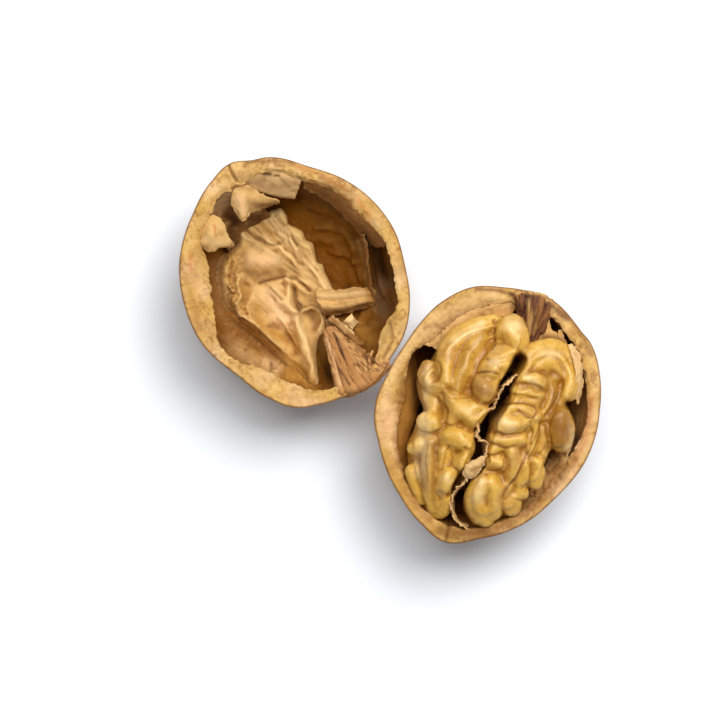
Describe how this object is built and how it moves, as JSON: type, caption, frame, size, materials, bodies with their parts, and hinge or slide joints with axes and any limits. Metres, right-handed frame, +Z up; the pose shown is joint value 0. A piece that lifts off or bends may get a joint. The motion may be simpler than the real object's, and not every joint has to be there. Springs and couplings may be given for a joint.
{
  "type": "cracked walnut",
  "caption": "Cracked walnut lying open side up: an empty half-shell with its torn inner partition, beside the half-shell that holds the folded kernel.",
  "frame": {"origin": "on the surface the nut lies on, under the middle of the two half-shells", "axes": "+Z up, out of the open halves; +X towards the right of the picture and the half that holds the kernel; +Y towards the top of the picture"},
  "size_m": [0.064, 0.0586, 0.023],
  "materials": {
    "shell": "dry woody nutshell, tan with brown stains",
    "kernel": "golden kernel skin with a soft sheen",
    "septum": "dull papery membrane",
    "lining": "dull papery lining",
    "fibres": "dry pink-tan fibres",
    "dark_fibres": "dry dark brown fibres"
  },
  "bodies": {
    "root": {"shell_empty": "shell", "partition": "lining", "stem_fibres_empty": "fibres", "top_flap": "lining", "tip_fold": "lining", "side_flap": "lining", "shell_kernel": "shell", "kernel": "kernel", "septum": "septum", "stem_fibres_full": "dark_fibres", "right_lining": "lining"}
  },
  "joints": []
}
